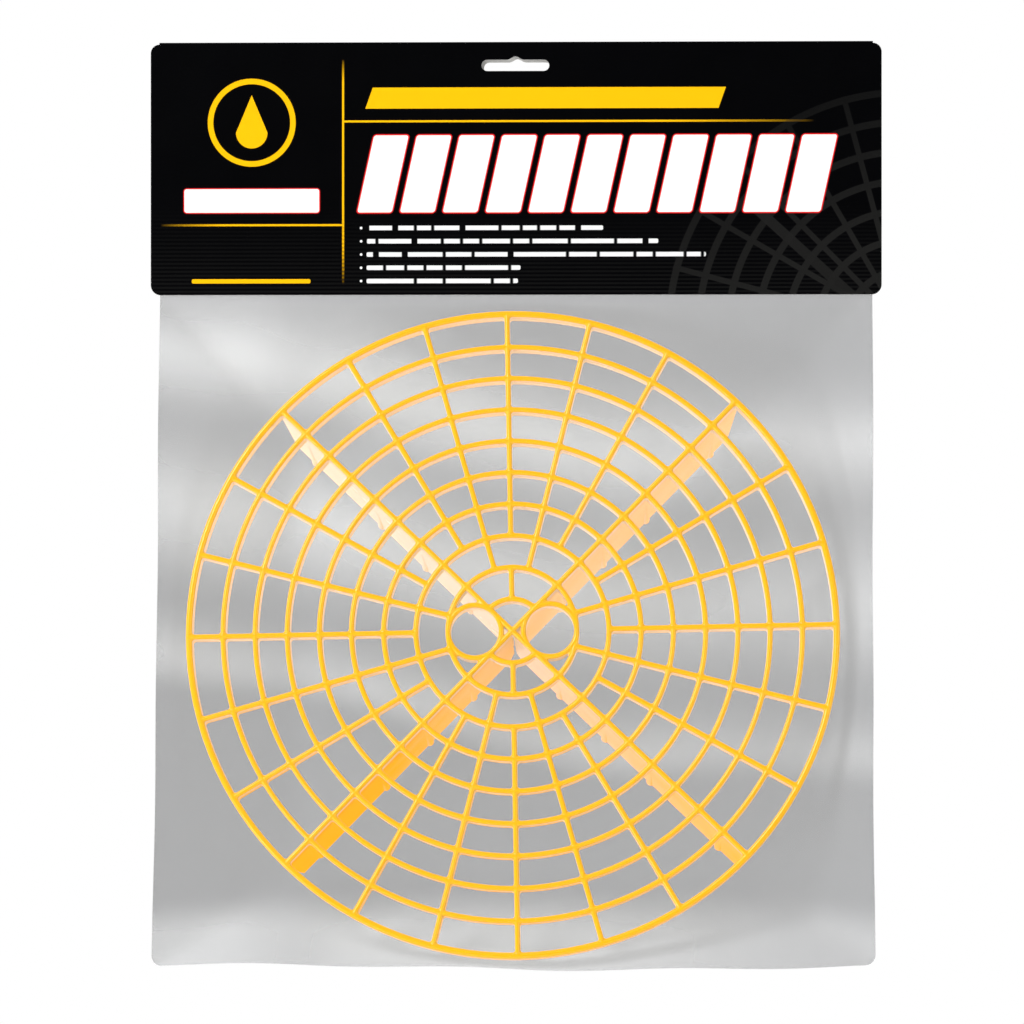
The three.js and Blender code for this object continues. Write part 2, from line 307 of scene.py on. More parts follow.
def ring_cell(start, end, inner, outer, steps, inner_steps=None, thick=1.0):
    """The sides of a cell between two spokes and two rings."""
    low, high = cmath.rect(1, start), cmath.rect(1, end)
    return [
        rib_side(low * inner, 1), rib_side(low * outer, steps, 0, 1, thick),
        rib_side(high * outer, 1), rib_side(high * inner, inner_steps or steps, 0, -1)]


grid_points, grid_faces = [], []
sector_steps = round(SECTOR / STEP)
wide_cell = ring_cell(FIRST_SPOKE, FIRST_SPOKE + SECTOR, ring_radius[1], ring_radius[2], sector_steps)
cell(grid_points, grid_faces, wide_cell, CROSSING_FILLET)
edges_of_rings = ring_radius[2:] + [rim_middle]
for column in range(2):
    start = FIRST_SPOKE + column * SECTOR / 2
    for inner, outer in zip(edges_of_rings, edges_of_rings[1:]):
        thick = RIM_HALF / RIB_HALF if outer == rim_middle else 1.0
        sides = ring_cell(start, start + SECTOR / 2, inner, outer, round(SECTOR / 2 / STEP), thick=thick)
        cell(grid_points, grid_faces, sides, CROSSING_FILLET)
wall_of_cell(grid_points, grid_faces, [
    [cmath.rect(rim_middle + share * RIM_HALF, FIRST_SPOKE + SECTOR - SECTOR * step / sector_steps)
     for step in range(sector_steps + 1)] for share, depth, rounding in RIB_SECTION], closed=False)
grid_sector = mesh_object("grid_sector", grid_points, grid_faces)


def node_group(kind, name, sockets):
    """An empty node group, with sockets from rows of name, in or out, and type."""
    tree = bpy.data.node_groups.new(name, kind)
    for label, way, socket_type in sockets:
        tree.interface.new_socket(label, in_out=way, socket_type="NodeSocket" + socket_type)
    return tree, tree.nodes.new("NodeGroupInput"), tree.nodes.new("NodeGroupOutput")


def copies_on_points():
    """A tree that sets a copy of one piece on each point, turned by the point's own angle."""
    tree, given, result = node_group("GeometryNodeTree", "copies on points", [
        ("Geometry", "INPUT", "Geometry"), ("Piece", "INPUT", "Object"),
        ("Weld Distance", "INPUT", "Float"), ("Finish", "INPUT", "Material"),
        ("Geometry", "OUTPUT", "Geometry")])
    piece = wired(tree, "GeometryNodeObjectInfo", {"Object": given.outputs["Piece"]})
    angle = wired(tree, "GeometryNodeInputNamedAttribute", {"Name": "turn"}, data_type="FLOAT")
    rotation = wired(tree, "ShaderNodeCombineXYZ", {"Z": angle.outputs["Attribute"]})
    placed = wired(tree, "GeometryNodeInstanceOnPoints", {
        "Points": given.outputs["Geometry"], "Instance": piece.outputs["Geometry"],
        "Rotation": rotation.outputs["Vector"]})
    real = wired(tree, "GeometryNodeRealizeInstances", {"Geometry": placed.outputs["Instances"]})
    weld = wired(tree, "GeometryNodeMergeByDistance", {
        "Geometry": real.outputs["Geometry"], "Distance": given.outputs["Weld Distance"]})
    finish = wired(tree, "GeometryNodeSetMaterial", {
        "Geometry": weld.outputs["Geometry"], "Material": given.outputs["Finish"]})
    feed(result, {"Geometry": finish.outputs["Geometry"]})
    return tree


COPIES = copies_on_points()


def set_copies(name, piece, places, finish):
    """A plain mesh of `piece` copied to each place, a (point, angle) pair; the piece itself goes."""
    holder = mesh_object(name + "_places", [place[0] for place in places], [])
    turns = holder.data.attributes.new("turn", "FLOAT", "POINT")
    turns.data.foreach_set("value", [place[1] for place in places])
    modifier = holder.modifiers.new("copies", "NODES")
    modifier.node_group = COPIES
    sockets = {item.name: item.identifier for item in COPIES.interface.items_tree
               if item.in_out == "INPUT"}
    modifier[sockets["Piece"]] = piece
    modifier[sockets["Weld Distance"]] = WELD
    modifier[sockets["Finish"]] = finish
    bpy.context.view_layer.update()
    evaluated = holder.evaluated_get(bpy.context.evaluated_depsgraph_get())
    mesh = bpy.data.meshes.new_from_object(evaluated)
    mesh.name = name
    for old in (holder, piece):
        bpy.data.objects.remove(old, do_unlink=True)
    made = bpy.data.objects.new(name, mesh)
    bpy.context.collection.objects.link(made)
    return made


yellow_plastic = bpy.data.materials.new("yellow_polypropylene")
sectors = round(2 * math.pi / SECTOR)
grid = set_copies(
    "grid", grid_sector, [((0, 0, 0), SECTOR * index) for index in range(sectors)], yellow_plastic)


# Hub: a finger ring on each side that touches the second ring and the crossed ribs,
# a half-size ring above and below, and a short spoke from each to the second ring.
hub_ring, half_ring = ring_radius[1], ring_radius[0]
finger_centre = hub_ring / (1 + math.sqrt(0.5))
finger_radius = hub_ring - finger_centre
touch = cmath.rect(finger_radius, math.pi / 4)
QUARTER = math.pi / 2
FINGER_STEP = math.radians(7.5)
# Where two ribs touch at a tangent, a flat web closes the thin gap between their crests.
ARM_WEB = 3
RING_WEB = 4
web_reach = ARM_WEB * FINGER_STEP * finger_radius
TURN_UP = cmath.rect(1, QUARTER / 2)


def finger_point(steps):
    """A point on the right finger ring's middle, in steps round from where it meets the hub ring."""
    return finger_centre + cmath.rect(finger_radius, FINGER_STEP * steps)


def web_end(start, end):
    """The points between a web's two ends, where the cell beside it begins."""
    return [start + (end - start) * step / CORNER_STEPS for step in range(1, CORNER_STEPS)]


def flat_web(points, faces, outline):
    """A web between crests, closed at the top and at the underside."""
    for depth in (0, RIB_DEPTH):
        faces.append(tuple(range(len(points), len(points) + len(outline))))
        points += [(spot.real * MM, spot.imag * MM, -depth * MM) for spot in outline]


hub_points, hub_faces = [], []
arm_stops = [(finger_radius - web_reach) / half_ring, finger_radius / half_ring]
outer_stop = (finger_radius + web_reach - half_ring) / (hub_ring - half_ring)
for up in (1, -1):
    turned = cmath.rect(1, QUARTER * (1 - up))
    low, high = turned * TURN_UP, turned * cmath.rect(1, 1.5 * QUARTER)
    cell(hub_points, hub_faces, [
        rib_side(0j, 1, stops=arm_stops), rib_side(low * half_ring, round(QUARTER / FINGER_STEP), 0, 1),
        rib_side(high * half_ring, 1, stops=[1 - stop for stop in arm_stops[::-1]])], HUB_FILLET)
    for half in range(2):
        start = QUARTER / 2 + QUARTER * (1 - up) + half * QUARTER / 2
        sides = ring_cell(start, start + QUARTER / 2, half_ring, hub_ring, round(QUARTER / 2 / STEP),
                          round(QUARTER / 2 / FINGER_STEP))
        arm = sides[0] if half == 0 else sides[2]
        arm["stops"] = [outer_stop if half == 0 else 1 - outer_stop]
        cell(hub_points, hub_faces, sides, CROSSING_FILLET)
steps_to_arm = round(1.5 * QUARTER / FINGER_STEP)
ring_web_end = cmath.rect(hub_ring, STEP * RING_WEB)
for side in (1, -1):
    outer_web = [
        side * TURN_UP * (finger_radius + web_reach), side * finger_point(steps_to_arm - ARM_WEB)]
    corner_space = [
        rib_side(complex(side * hub_ring, 0), round(QUARTER / 2 / STEP) - RING_WEB, 0, 1,
                 web=[side * finger_point(RING_WEB), side * ring_web_end]),
        rib_side(side * hub_ring * TURN_UP, 1),
        rib_side(side * touch, steps_to_arm - ARM_WEB - RING_WEB, side * finger_centre, -1,
                 web=outer_web)]
    ring_web = [cmath.rect(hub_ring, STEP * step) for step in range(RING_WEB + 1)]
    ring_web += web_end(ring_web[-1], finger_point(RING_WEB))
    ring_web += [finger_point(step) for step in range(RING_WEB, 0, -1)]
    arm_web = [finger_point(steps_to_arm - step) for step in range(ARM_WEB + 1)]
    arm_end = TURN_UP * (finger_radius + web_reach)
    arm_web += web_end(arm_web[-1], arm_end) + [arm_end, TURN_UP * half_ring]
    inner_web = [TURN_UP * (finger_radius - web_reach)]
    inner_web += web_end(inner_web[0], finger_point(steps_to_arm + ARM_WEB))
    inner_web += [finger_point(steps_to_arm + step) for step in range(ARM_WEB, -1, -1)]
    for mirrored in (False, True):
        cell(hub_points, hub_faces, corner_space, HUB_FILLET, mirrored)
        for web in (ring_web, arm_web, inner_web):
            placed_web = [side * (spot.conjugate() if mirrored else spot) for spot in web]
            flat_web(hub_points, hub_faces, placed_web)
    web_start = finger_radius - web_reach
    middle_webs = [
        [side * TURN_UP.conjugate() * web_start, side * finger_point(-steps_to_arm - ARM_WEB)],
        [side * finger_point(steps_to_arm + ARM_WEB), side * TURN_UP * web_start]]
    middle_steps = round(QUARTER / FINGER_STEP) - 2 * ARM_WEB
    cell(hub_points, hub_faces, [
        rib_side(0j, 1),
        rib_side(side * touch.conjugate(), middle_steps, side * finger_centre, -1, web=middle_webs[0]),
        rib_side(side * touch, 1, web=middle_webs[1])], MIDDLE_FILLET)
    steps = round(4 * QUARTER / FINGER_STEP)
    wall_of_cell(hub_points, hub_faces, [
        [side * finger_centre + cmath.rect(finger_radius - share * RIB_HALF, FINGER_STEP * step)
         for step in range(steps)] for share, depth, rounding in RIB_SECTION])
hub = mesh_object("hub", hub_points, hub_faces)


def joined_and_welded(target, *others):
    """Joins meshes into `target` and welds the points that they share."""
    work = bmesh.new()
    for piece in (target, *others):
        work.from_mesh(piece.data)
    for piece in others:
        bpy.data.objects.remove(piece, do_unlink=True)
    bmesh.ops.remove_doubles(work, verts=work.verts, dist=WELD)
    bmesh.ops.dissolve_degenerate(work, edges=work.edges, dist=WELD)
    bmesh.ops.recalc_face_normals(work, faces=work.faces)
    work.to_mesh(target.data)
    work.free()


joined_and_welded(grid, hub)


# ---------------------------------------------------------------------------
# Dirt trap insert: the crossed vanes
# Four plates moulded in one with the grid stand on the bucket's floor and split it
# in quarters. Tapered ejector bosses run down each one and end in a round foot.
# ---------------------------------------------------------------------------
INSERT_HEIGHT = 63.5
BOSS_RINGS = [1, 3, 5, 8]
BOSS_SIDES = 20
CHAMFER = 0.3
FOOT_HEIGHT = 0.8
foot_level = -(INSERT_HEIGHT - FOOT_HEIGHT)
# From the top, which is buried in the rib, to the foot: level, inner end, outer end, half thickness.
VANE_LEVELS = [
    (-4.0, 1.3, 128.0, 0.93), (-8.8, 1.3, 128.7, 1.0), (foot_level + 11, 1.3, 125.5, 0.88),
    (foot_level, 4.0, 124.6, 0.85)]
# The boss's outline from its buried top to the tip of its foot: radius, level.
BOSS_OUTLINE = [
    (0.9, -6), (1.0, -14), (1.85, foot_level + 1.6), (1.9, foot_level + 0.6), (1.75, foot_level - 0.15),
    (1.35, foot_level - 0.55), (0.7, -INSERT_HEIGHT + 0.06)]


def vane_plate():
    """One drafted plate along +X with its outline chamfered."""
    points, faces = [], []
    for level, inner, outer, half in VANE_LEVELS:
        points += [(inner * MM, -half * MM, level * MM), (outer * MM, -half * MM, level * MM),
                   (outer * MM, half * MM, level * MM), (inner * MM, half * MM, level * MM)]
    faces.append((0, 1, 2, 3))
    for row in range(len(VANE_LEVELS) - 1):
        top = 4 * row
        faces += [(top + corner, top + 4 + corner, top + 4 + (corner + 1) % 4, top + (corner + 1) % 4)
                  for corner in range(4)]
    last = 4 * (len(VANE_LEVELS) - 1)
    faces.append((last + 3, last + 2, last + 1, last))
    plate = mesh_object("vane_plate", points, faces)
    work = bmesh.new()
    work.from_mesh(plate.data)
    outline = [edge for edge in work.edges if edge.calc_face_angle() > math.radians(30)]
    bmesh.ops.bevel(work, geom=outline, offset=CHAMFER * MM, segments=1, affect="EDGES")
    work.to_mesh(plate.data)
    work.free()
    return plate


def turned_boss():
    """A closed round boss on the Z axis."""
    points = [(0, 0, BOSS_OUTLINE[0][1] * MM)]
    for radius, level in BOSS_OUTLINE:
        points += [(radius * MM * math.cos(angle), radius * MM * math.sin(angle), level * MM)
                   for angle in (2 * math.pi * side / BOSS_SIDES for side in range(BOSS_SIDES))]
    points.append((0, 0, -INSERT_HEIGHT * MM))
    faces, tip = [], len(points) - 1
    for side in range(BOSS_SIDES):
        after = (side + 1) % BOSS_SIDES
        faces.append((0, 1 + side, 1 + after))
        for row in range(len(BOSS_OUTLINE) - 1):
            base = 1 + row * BOSS_SIDES
            faces.append((base + side, base + BOSS_SIDES + side, base + BOSS_SIDES + after, base + after))
        base = 1 + (len(BOSS_OUTLINE) - 1) * BOSS_SIDES
        faces.append((base + side, tip, base + after))
    return mesh_object("boss", points, faces)


def moulded_into(target, tool):
    """Unites `tool` with `target` in one skin, and removes it."""
    modifier = target.modifiers.new("moulded in one", "BOOLEAN")
    modifier.operation = "UNION"
    modifier.solver = "MANIFOLD"
    modifier.object = tool
    bpy.context.view_layer.update()
    evaluated = target.evaluated_get(bpy.context.evaluated_depsgraph_get())
    united = bpy.data.meshes.new_from_object(evaluated)
    target.modifiers.clear()
    target.data = united
    bpy.data.objects.remove(tool, do_unlink=True)


vane = vane_plate()
boss_places = [((ring_radius[ring] * MM, 0, 0), 0) for ring in BOSS_RINGS]
moulded_into(vane, set_copies("bosses", turned_boss(), boss_places, yellow_plastic))
vanes = set_copies(
    "vanes", vane, [((0, 0, 0), QUARTER * (index + 0.5)) for index in range(4)], yellow_plastic)
moulded_into(grid, vanes)

# The insert hangs in the bag with its face forward and its top leaning back.
insert_slide = next(joint for joint in frame["joints"] if joint["name"] == "insert_pull")
up_face = Vector(insert_slide["axis"]).normalized()
out_of_face = up_face.cross(Vector((-1, 0, 0))).normalized()
rim_low, rim_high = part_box("insert_rim")
hub_front = (rim_low + rim_high) / 2 + out_of_face * (RIB_DEPTH / 2 * MM)
face_turn = Matrix(((1, 0, 0), tuple(up_face), tuple(out_of_face))).transposed()
insert_place = Matrix.Translation(hub_front) @ face_turn.to_4x4() @ Matrix.Rotation(RIB_ROLL, 4, "Z")
insert = grid
insert.name = "insert_moulding"
insert.data.transform(insert_place)
insert.data.shade_smooth()
insert.data.set_sharp_from_angle(angle=SHARP_EDGE)
# Large flat faces keep their own normal, so the seams round the bosses don't streak.
even_shading = insert.modifiers.new("even shading", "WEIGHTED_NORMAL")
even_shading.keep_sharp = True
bpy.context.view_layer.update()
shaded = bpy.data.meshes.new_from_object(insert.evaluated_get(bpy.context.evaluated_depsgraph_get()))
insert.modifiers.clear()
insert.data = shaded


def maths(operation, *values):
    """A maths node; each input is a number or another node's output."""
    tree = next(value.id_data for value in values if isinstance(value, bpy.types.NodeSocket))
    return wired(tree, "ShaderNodeMath", dict(enumerate(values)), operation=operation).outputs[0]


def times(first, second):
    """Two values multiplied."""
    return maths("MULTIPLY", first, second)


def plus(first, second):
    """Two values added."""
    return maths("ADD", first, second)


def minus(first, second):
    """The second value taken from the first."""
    return maths("SUBTRACT", first, second)


def axes_of(vector):
    """The X, Y and Z of a vector."""
    return tuple(wired(vector.id_data, "ShaderNodeSeparateXYZ", {"Vector": vector}).outputs)


def blended(share, low, high):
    """A colour mix; each colour is an (r, g, b) triple or another node's output."""
    low, high = [(*value, 1) if isinstance(value, tuple) else value for value in (low, high)]
    return wired(share.id_data, "ShaderNodeMix", {0: share, 6: low, 7: high}, data_type="RGBA").outputs[2]


def noise_of(position, scale, detail, roughness=0.5):
    """A noise texture's value on a position."""
    return wired(position.id_data, "ShaderNodeTexNoise", {
        "Vector": position, "Scale": scale, "Detail": detail, "Roughness": roughness}).outputs["Fac"]


def spread(value, low, high, to_low, to_high, smooth=False):
    """Maps a value from one range to another, clamped."""
    return wired(value.id_data, "ShaderNodeMapRange", {
        "Value": value, "From Min": low, "From Max": high, "To Min": to_low, "To Max": to_high},
        interpolation_type="SMOOTHSTEP" if smooth else "LINEAR").outputs[0]


def handling_marks():
    """Fine surface grain with faint rubbed patches, as on plastic and coated card that is handled."""
    tree, given, result = node_group("ShaderNodeTree", "handling marks", [
        ("Position", "INPUT", "Vector"), ("Base Roughness", "INPUT", "Float"),
        ("Rubbed", "INPUT", "Float"), ("Roughness", "OUTPUT", "Float"), ("Height", "OUTPUT", "Float")])
    position = given.outputs["Position"]
    swing = minus(noise_of(position, 60, 3), 0.5)
    grain, ripple = noise_of(position, 1400, 2), noise_of(position, 160, 1)
    rubbed, base = given.outputs["Rubbed"], given.outputs["Base Roughness"]
    feed(result, {
        "Roughness": maths("MULTIPLY_ADD", swing, rubbed, base),
        "Height": maths("MULTIPLY_ADD", grain, 0.25, ripple)})
    return tree


HANDLING = handling_marks()


def bumped(shader, height, distance):
    """Feeds a height in metres times `distance` to the shader's normal."""
    bump = wired(shader.id_data, "ShaderNodeBump", {
        "Strength": 1.0, "Distance": distance, "Height": height})
    feed(shader, {"Normal": bump.outputs["Normal"]})


def marked(material, roughness, rubbed, relief):
    """Puts handling marks in a material: its shader, its object coordinates and the marks."""
    material.use_nodes = True
    tree = material.node_tree
    shader = tree.nodes["Principled BSDF"]
    where = wired(tree, "ShaderNodeTexCoord").outputs["Object"]
    marks = wired(tree, "ShaderNodeGroup", {
        "Position": where, "Base Roughness": roughness, "Rubbed": rubbed}, node_tree=HANDLING)
    feed(shader, {"Roughness": marks.outputs["Roughness"]})
    bumped(shader, marks.outputs["Height"], relief)
    return shader, where, marks


def along_direction(vector, direction, origin=(0, 0, 0)):
    """How far a vector reaches along a direction, from an origin."""
    tree = vector.id_data
    moved = wired(tree, "ShaderNodeVectorMath", {0: vector, 1: origin}, operation="SUBTRACT").outputs[0]
    dot = wired(tree, "ShaderNodeVectorMath", {0: moved, 1: direction}, operation="DOT_PRODUCT")
    return dot.outputs["Value"]


# The plastic is a warm yellow. The walls carry painted light, a pale cream in place of light soaking
# through them, and a faint painted glow; painted amber shade darkens the vanes towards their lower ends
# and on the right side.
BLACK = (0, 0, 0)
CREST_YELLOW = (1.0, 0.49, 0.0005)
WALL_PAINTED_LIGHT = (1.0, 0.57, 0.22)
VANE_PAINTED_SHADE = (1.0, 0.385, 0.003)
PAINTED_GLOW_CREAM = (0.68, 0.43, 0.31)
PAINTED_WALL_GLOW = 0.5
# What the plastic throws on the film and the card is paler than what is seen of it.
BOUNCED = (0.80, 0.78, 0.74)

shader, where, marks = marked(yellow_plastic, 0.25, 0.12, 0.00006)
tree = shader.id_data
surface = wired(tree, "ShaderNodeTexCoord").outputs["Normal"]
seen_direct = wired(tree, "ShaderNodeLightPath").outputs["Is Camera Ray"]
wall = spread(maths("ABSOLUTE", along_direction(surface, out_of_face)), 0.06, 0.35, 1, 0, True)
depth = along_direction(where, -out_of_face, hub_front)
deep = spread(depth, 0.002, 0.009, 0.25, 1, True)
rightward = spread(along_direction(surface, Vector((1, 0, 0))), -0.4, 0.6, 0, 0.48)
lowness = spread(along_direction(where, -up_face, hub_front), -0.01, 0.095, 0, 1.0)
flow = spread(noise_of(where, 26, 2), 0.3, 0.7, 0.8, 1.1)
# Painted shade: amber deepens deep down in the grid, on right-facing sides and towards the lower ends,
# with a little noise.
painted_shade = times(times(deep, plus(rightward, lowness)), flow)
# The walls take the pale cream of painted light, mixed with the painted amber shade; the crests keep
# their own yellow.
colour_with_painted_light = blended(wall, CREST_YELLOW, blended(painted_shade, WALL_PAINTED_LIGHT, VANE_PAINTED_SHADE))
# Painted glow: the walls give off a faint cream-to-amber light of their own, stronger deeper down, seen
# by the camera only.
painted_glow = times(times(wall, seen_direct), spread(depth, 0.004, 0.012, 0.5, 1))
walls_in_painted_shade = times(wall, painted_shade)
feed(shader, {
    "Base Color": blended(seen_direct, BOUNCED, colour_with_painted_light),
    "Emission Color": blended(painted_glow, BLACK, blended(painted_shade, PAINTED_GLOW_CREAM, VANE_PAINTED_SHADE)),
    "Emission Strength": PAINTED_WALL_GLOW,
    "Roughness": maths("MULTIPLY_ADD", walls_in_painted_shade, 0.4, marks.outputs["Roughness"]),
    "Specular IOR Level": spread(walls_in_painted_shade, 0, 1, 0.32, 0.01),
    "IOR": 1.49,
    # The mould was polished where it made the crests, so they catch a thin line of light.
    "Coat Weight": spread(wall, 0, 0.6, 0.3, 0),
    "Coat Roughness": 0.18})

insert.data.materials.clear()
insert.data.materials.append(yellow_plastic)
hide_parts(*[node for node in frame["nodes"] if node.startswith("insert_")])
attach(insert, "insert")


# ---------------------------------------------------------------------------
# Bag
# Two panels of clear film heat-sealed at the sides and the foot. The front one
# lies on the grid; the back one is drawn over the four outer corners of the vanes.
# ---------------------------------------------------------------------------
FILM_HALF = 0.00008
FILM_PITCH = 0.004
BEND_RADIUS = 0.008
CORNER_ROUND = 0.004
EDGE_WANDER = 0.0003
# Slack film lifts off by SLACK_LIFT at most: the lift grows over SLACK_WIDTH from the bag's
# edge and over SLACK_BELOW from the card. Where it lies on the grid it hardly lifts at all.
SLACK_WIDTH = 0.02
SLACK_BELOW = 0.03
SLACK_LIFT = 0.0016
PRESSED_LIFT = 0.00012

front_low, front_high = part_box("bag_front_panel")
mouth = front_high.z
bag_half = front_high.x
card_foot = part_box("header_front_leaf")[0].z
bend = Vector((0, -0.0002, card_foot - 0.0003))
face_length = (bend.z - front_low.z) / up_face.z
neck_length = mouth - bend.z


def film_wave(across, down):
    """Soft slanting waves of slack film, from -1 to 1."""
    return (0.5 * math.sin(38 * down - 9 * across + 0.6) + 0.3 * math.sin(71 * down + 14 * across + 2.1)
            + 0.2 * math.sin(55 * across - 23 * down + 1.3))


def on_disc(across, down):
    """1 where the film lies on the grid, fading to 0 a little outside its rim."""
    away = math.hypot(across - hub_front.x, down - face_to_hub) - RIM_OUTER * MM
    return min(1, max(0, -away / 0.012 + 0.5))


face_to_hub = (bend - hub_front).dot(up_face)
DROP = BEND_RADIUS * math.tan(math.acos(up_face.z) / 2)


def film_frame(along):
    """Centre point and outward direction of the front film, `along` its length from the mouth."""
    down = along - neck_length
    lean = min(1, max(0, (down + DROP) / (2 * DROP)))
    if lean <= 0:
        return Vector((0, bend.y, mouth - along)), Vector((0, -1, 0))
    outward = Vector((0, -1, 0)).lerp(out_of_face, lean).normalized()
    if lean < 1:
        start = Vector((0, bend.y, bend.z + DROP))
        step = down + DROP
        slant = -up_face.lerp(Vector((0, 0, 1)), 1 - lean / 2)
        return start + slant.normalized() * step, outward
    return bend - up_face * down, outward


def smooth_object(name, points, faces, sharp_degrees):
    """A closed mesh object with its faces turned outwards, smooth but for its sharp edges."""
    made = mesh_object(name, points, faces)
    work = bmesh.new()
    work.from_mesh(made.data)
    bmesh.ops.recalc_face_normals(work, faces=work.faces)
    work.to_mesh(made.data)
    work.free()
    made.data.shade_smooth()
    made.data.set_sharp_from_angle(angle=math.radians(sharp_degrees))
    return made


def skin_of_film(name, rows, thickness):
    """A closed sheet from rows of (point, outward direction) pairs."""
    width = len(rows[0])
    points = [point + outward * thickness for row in rows for point, outward in row]
    points += [point - outward * thickness for row in rows for point, outward in row]
    under = len(rows) * width
    faces = []
    for row in range(len(rows) - 1):
        for column in range(width - 1):
            a = row * width + column
            faces.append((a, a + width, a + width + 1, a + 1))
            faces.append((under + a + 1, under + a + width + 1, under + a + width, under + a))
    last = (len(rows) - 1) * width
    for column in range(width - 1):
        faces.append((column + 1, under + column + 1, under + column, column))
        faces.append((last + column, under + last + column, under + last + column + 1, last + column + 1))
    for row in range(len(rows) - 1):
        a, b = row * width, row * width + width - 1
        faces.append((a, under + a, under + a + width, a + width))
        faces.append((b + width, under + b + width, under + b, b))
    return smooth_object(name, points, faces, 60)


def bag_edge(along, total):
    """Half width of the bag at a height: it wanders a little and rounds off at the foot."""
    left = total - along
    half = bag_half + 0.0011 - 0.0018 * along / total + EDGE_WANDER * math.sin(17 * along + 0.5)
    half += EDGE_WANDER / 2 * math.sin(61 * along)
    if left < CORNER_ROUND:
        half -= CORNER_ROUND - math.sqrt(max(0, CORNER_ROUND ** 2 - (CORNER_ROUND - left) ** 2))
    return half


def foot_wander(across):
    """How far the bag's foot rises and falls along its length."""
    return 0.0009 * math.sin(24 * across + 0.8) + 0.0005 * math.sin(75 * across)


total_length = neck_length + face_length - 0.0002
film_rows = round(total_length / FILM_PITCH)
film_columns = round(2 * bag_half / FILM_PITCH)


def film_stations():
    """Distances down the film: even steps, with close ones round the foot's corners."""
    even = [total_length * step / film_rows for step in range(film_rows)]
    return even + [total_length - CORNER_ROUND * share for share in (0.75, 0.4, 0.15, 0.04, 0)]


def panel_rows(lift_at, side):
    """Rows of (point, outward direction) down a panel; lift_at says how far each stands off."""
    rows = []
    for along in film_stations():
        centre, forward = film_frame(along)
        half = bag_edge(along, total_length)
        row = []
        for column in range(film_columns + 1):
            across = half * (2 * column / film_columns - 1)
            flat = centre + Vector((across, 0, 0))
            lift = lift_at(flat, across, along - neck_length)
            foot = min(1, along / total_length) ** 8 * foot_wander(across)
            row.append((flat + side * forward * lift - up_face * foot, side * forward))
        rows.append(row)
    return rows


def front_lift(flat, across, down):
    """The front panel waves where it is slack and lies close where it is on the grid."""
    free = min(1, max(0, down / SLACK_BELOW))
    tight = on_disc(across, down)
    from_edge = min(1, (bag_half - abs(across)) / SLACK_WIDTH)
    slack = free * from_edge * (1 - tight) * SLACK_LIFT * (film_wave(across, down) + 0.4)
    return slack + free * tight * PRESSED_LIFT * (1 + film_wave(across, down))


bag_front = skin_of_film("bag_front_film", panel_rows(front_lift, 1), FILM_HALF)

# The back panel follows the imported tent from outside, with creases that run off its corners.
tent = BVHTree.FromPolygons(
    [tuple(vertex.co) for vertex in frame["nodes"]["bag_back_panel"].data.vertices],
    [tuple(face.vertices) for face in frame["nodes"]["bag_back_panel"].data.polygons])
VANE_REACH = VANE_LEVELS[-1][2] * MM
TENT_REACH = 0.2
BACK_GAP = 0.0004
BACK_LIFT = 0.0007
CREASE_LIFT = 0.0013
CREASE_LENGTH = 0.035
CREASE_START = 0.006
tent_corners = [
    (hub_front.x + VANE_REACH * math.cos(QUARTER * (index + 0.5) + RIB_ROLL),
     face_to_hub - VANE_REACH * math.sin(QUARTER * (index + 0.5) + RIB_ROLL)) for index in range(4)]


def crease(across, down):
    """Soft folds that run off each corner of the tent, outwards only."""
    lift = 0.0
    for index, (x, y) in enumerate(tent_corners):
        away = math.hypot(across - x, down - y)
        turn = math.atan2(down - y, across - x)
        fan = max(0.0, math.sin(9 * turn + index * 1.7)) ** 2
        fade = math.exp(-away / CREASE_LENGTH) * (1 - math.exp(-away / CREASE_START))
        lift += CREASE_LIFT * fan * fade
    return lift


def back_lift(flat, across, down):
    """The back panel stands off as far as the tent does, and a little more where it is slack."""
    behind = BACK_GAP
    if down > 0.001:
        hit = tent.ray_cast(flat - out_of_face * TENT_REACH, out_of_face)[0]
        if hit is not None:
            behind = max(behind, (flat - hit).dot(out_of_face))
    slack = min(1, behind / SLACK_WIDTH)
    return behind + slack * (crease(across, down) + BACK_LIFT * (1 + film_wave(across, down)))


bag_back = skin_of_film("bag_back_film", panel_rows(back_lift, -1), FILM_HALF)

# Heights of the bands of painted sheen at the bag's left side, and how pale each one is; painted shade
# lies between them.
BAND_LEVELS = [
    (-0.285, 0.01), (-0.266, 0.01), (-0.251, 0.04), (-0.2395, 0.46), (-0.226, 0.18), (-0.213, 0.06),
    (-0.196, 0.42), (-0.1785, 0.72), (-0.163, 0.45), (-0.145, 0.20), (-0.132, 0.44), (-0.1155, 0.84),
    (-0.100, 0.45), (-0.085, 0.14), (-0.06, 0.10)]
BANDS_LOW = -0.29
BANDS_HIGH = -0.05
# The bands slant: from left to right between these two places they sink by this much.
SLANT_FROM = -0.115
SLANT_TO = 0.055
SLANT_DROP = 0.040
BAND_WANDER = 0.022
# The doubled film at the foot: the height it starts at, how it fades in and how milky it is.
FOOT_TOP = -0.333
FOOT_FADE = 0.016
FOOT_MILK = 0.54
# Inside the card, from the one height to the other, the film lies on pale board.
CARD_FROM = -0.0945
CARD_TO = -0.091
CARD_MILK = 0.8
# The film's colour runs from painted shade to the pale of painted sheen and of milkier film.
FILM_SHADE_DARK = (0.108, 0.113, 0.119)
FILM_SHEEN_AND_MILK = (0.85, 0.86, 0.865)
CLOUD_DARK = (0.7, 0.71, 0.72)
CLOUD_LIGHT = (0.86, 0.87, 0.88)


